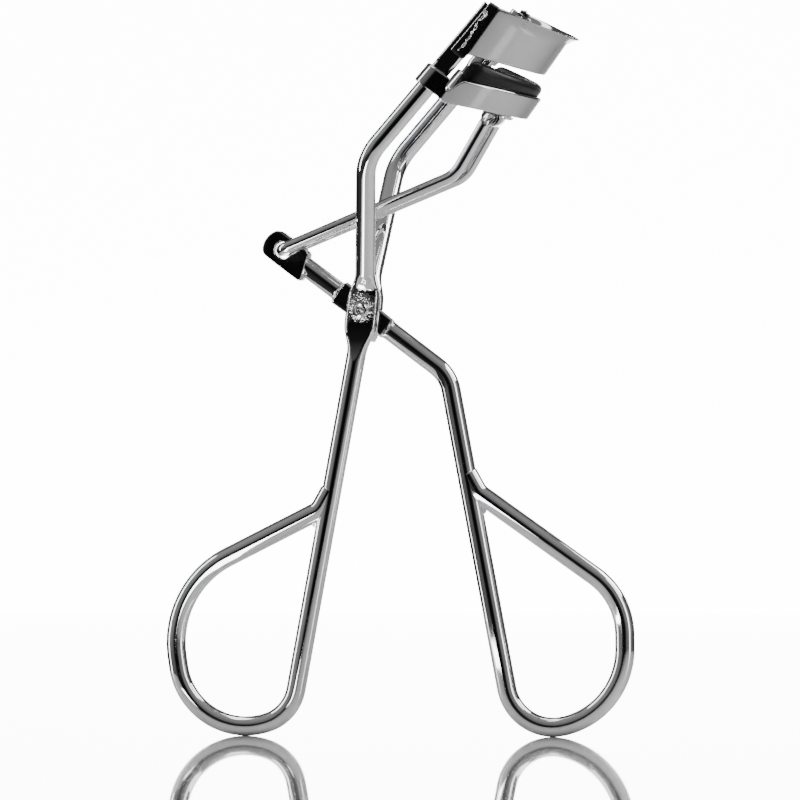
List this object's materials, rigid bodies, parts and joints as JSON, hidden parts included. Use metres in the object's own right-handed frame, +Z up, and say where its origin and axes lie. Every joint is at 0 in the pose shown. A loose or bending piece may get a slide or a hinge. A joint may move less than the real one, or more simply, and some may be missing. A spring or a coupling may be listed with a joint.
{
  "type": "eyelash curler",
  "caption": "Chromed wire eyelash curler: scissor handles with open finger loops, a curved fixed upper jaw and a sliding lower jaw with a rubber pad.",
  "frame": {"origin": "centre of the footprint on the plane the two finger loops touch", "axes": "+Z up along the length from the loops to the jaws, +Y along the jaws' width and the pivot rivet, +X towards the side the jaws face"},
  "size_m": [0.0674, 0.03, 0.1044],
  "materials": {
    "chrome_wire": "polished",
    "jaw_sheet": "satin-polished",
    "tip_steel": "polished",
    "pad_rubber": "smooth"
  },
  "bodies": {
    "frame": {"left_handle": "chrome_wire", "left_loop_braze": "chrome_wire", "far_guide_rod": "chrome_wire", "pivot_rivet": "chrome_wire", "upper_jaw": "jaw_sheet", "jaw_weld_beads": "chrome_wire"},
    "moving_handle": {"right_handle": "chrome_wire", "right_loop_braze": "chrome_wire", "tip_block": "tip_steel"},
    "lower_jaw_carriage": {"lower_jaw": "jaw_sheet", "pad_channel": "jaw_sheet", "lash_pad": "pad_rubber", "link_lug": "jaw_sheet", "lug_rivets": "chrome_wire"},
    "link_body": {"link": "chrome_wire"}
  },
  "joints": [
    {"name": "handle_hinge", "type": "hinge", "parent": "frame", "child": "moving_handle", "pos_m": [-0.00586, 0, 0.06109], "axis": [0, 1, 0], "range_deg": [-18, 3.2]},
    {"name": "jaw_slide", "type": "slide", "parent": "frame", "child": "lower_jaw_carriage", "axis": [0.6508, 0, 0.7593], "range_m": [-0.00416, 0.00074]},
    {"name": "link_hinge", "type": "hinge", "parent": "lower_jaw_carriage", "child": "link_body", "pos_m": [0.01334, 0, 0.08829], "axis": [0, 1, 0], "range_deg": [-1.45, 0.27]}
  ],
  "couplings": [
    {"joint": "jaw_slide", "follows": "handle_hinge", "m_per_rad": 0.0132},
    {"joint": "link_hinge", "follows": "handle_hinge", "ratio": 0.078}
  ]
}
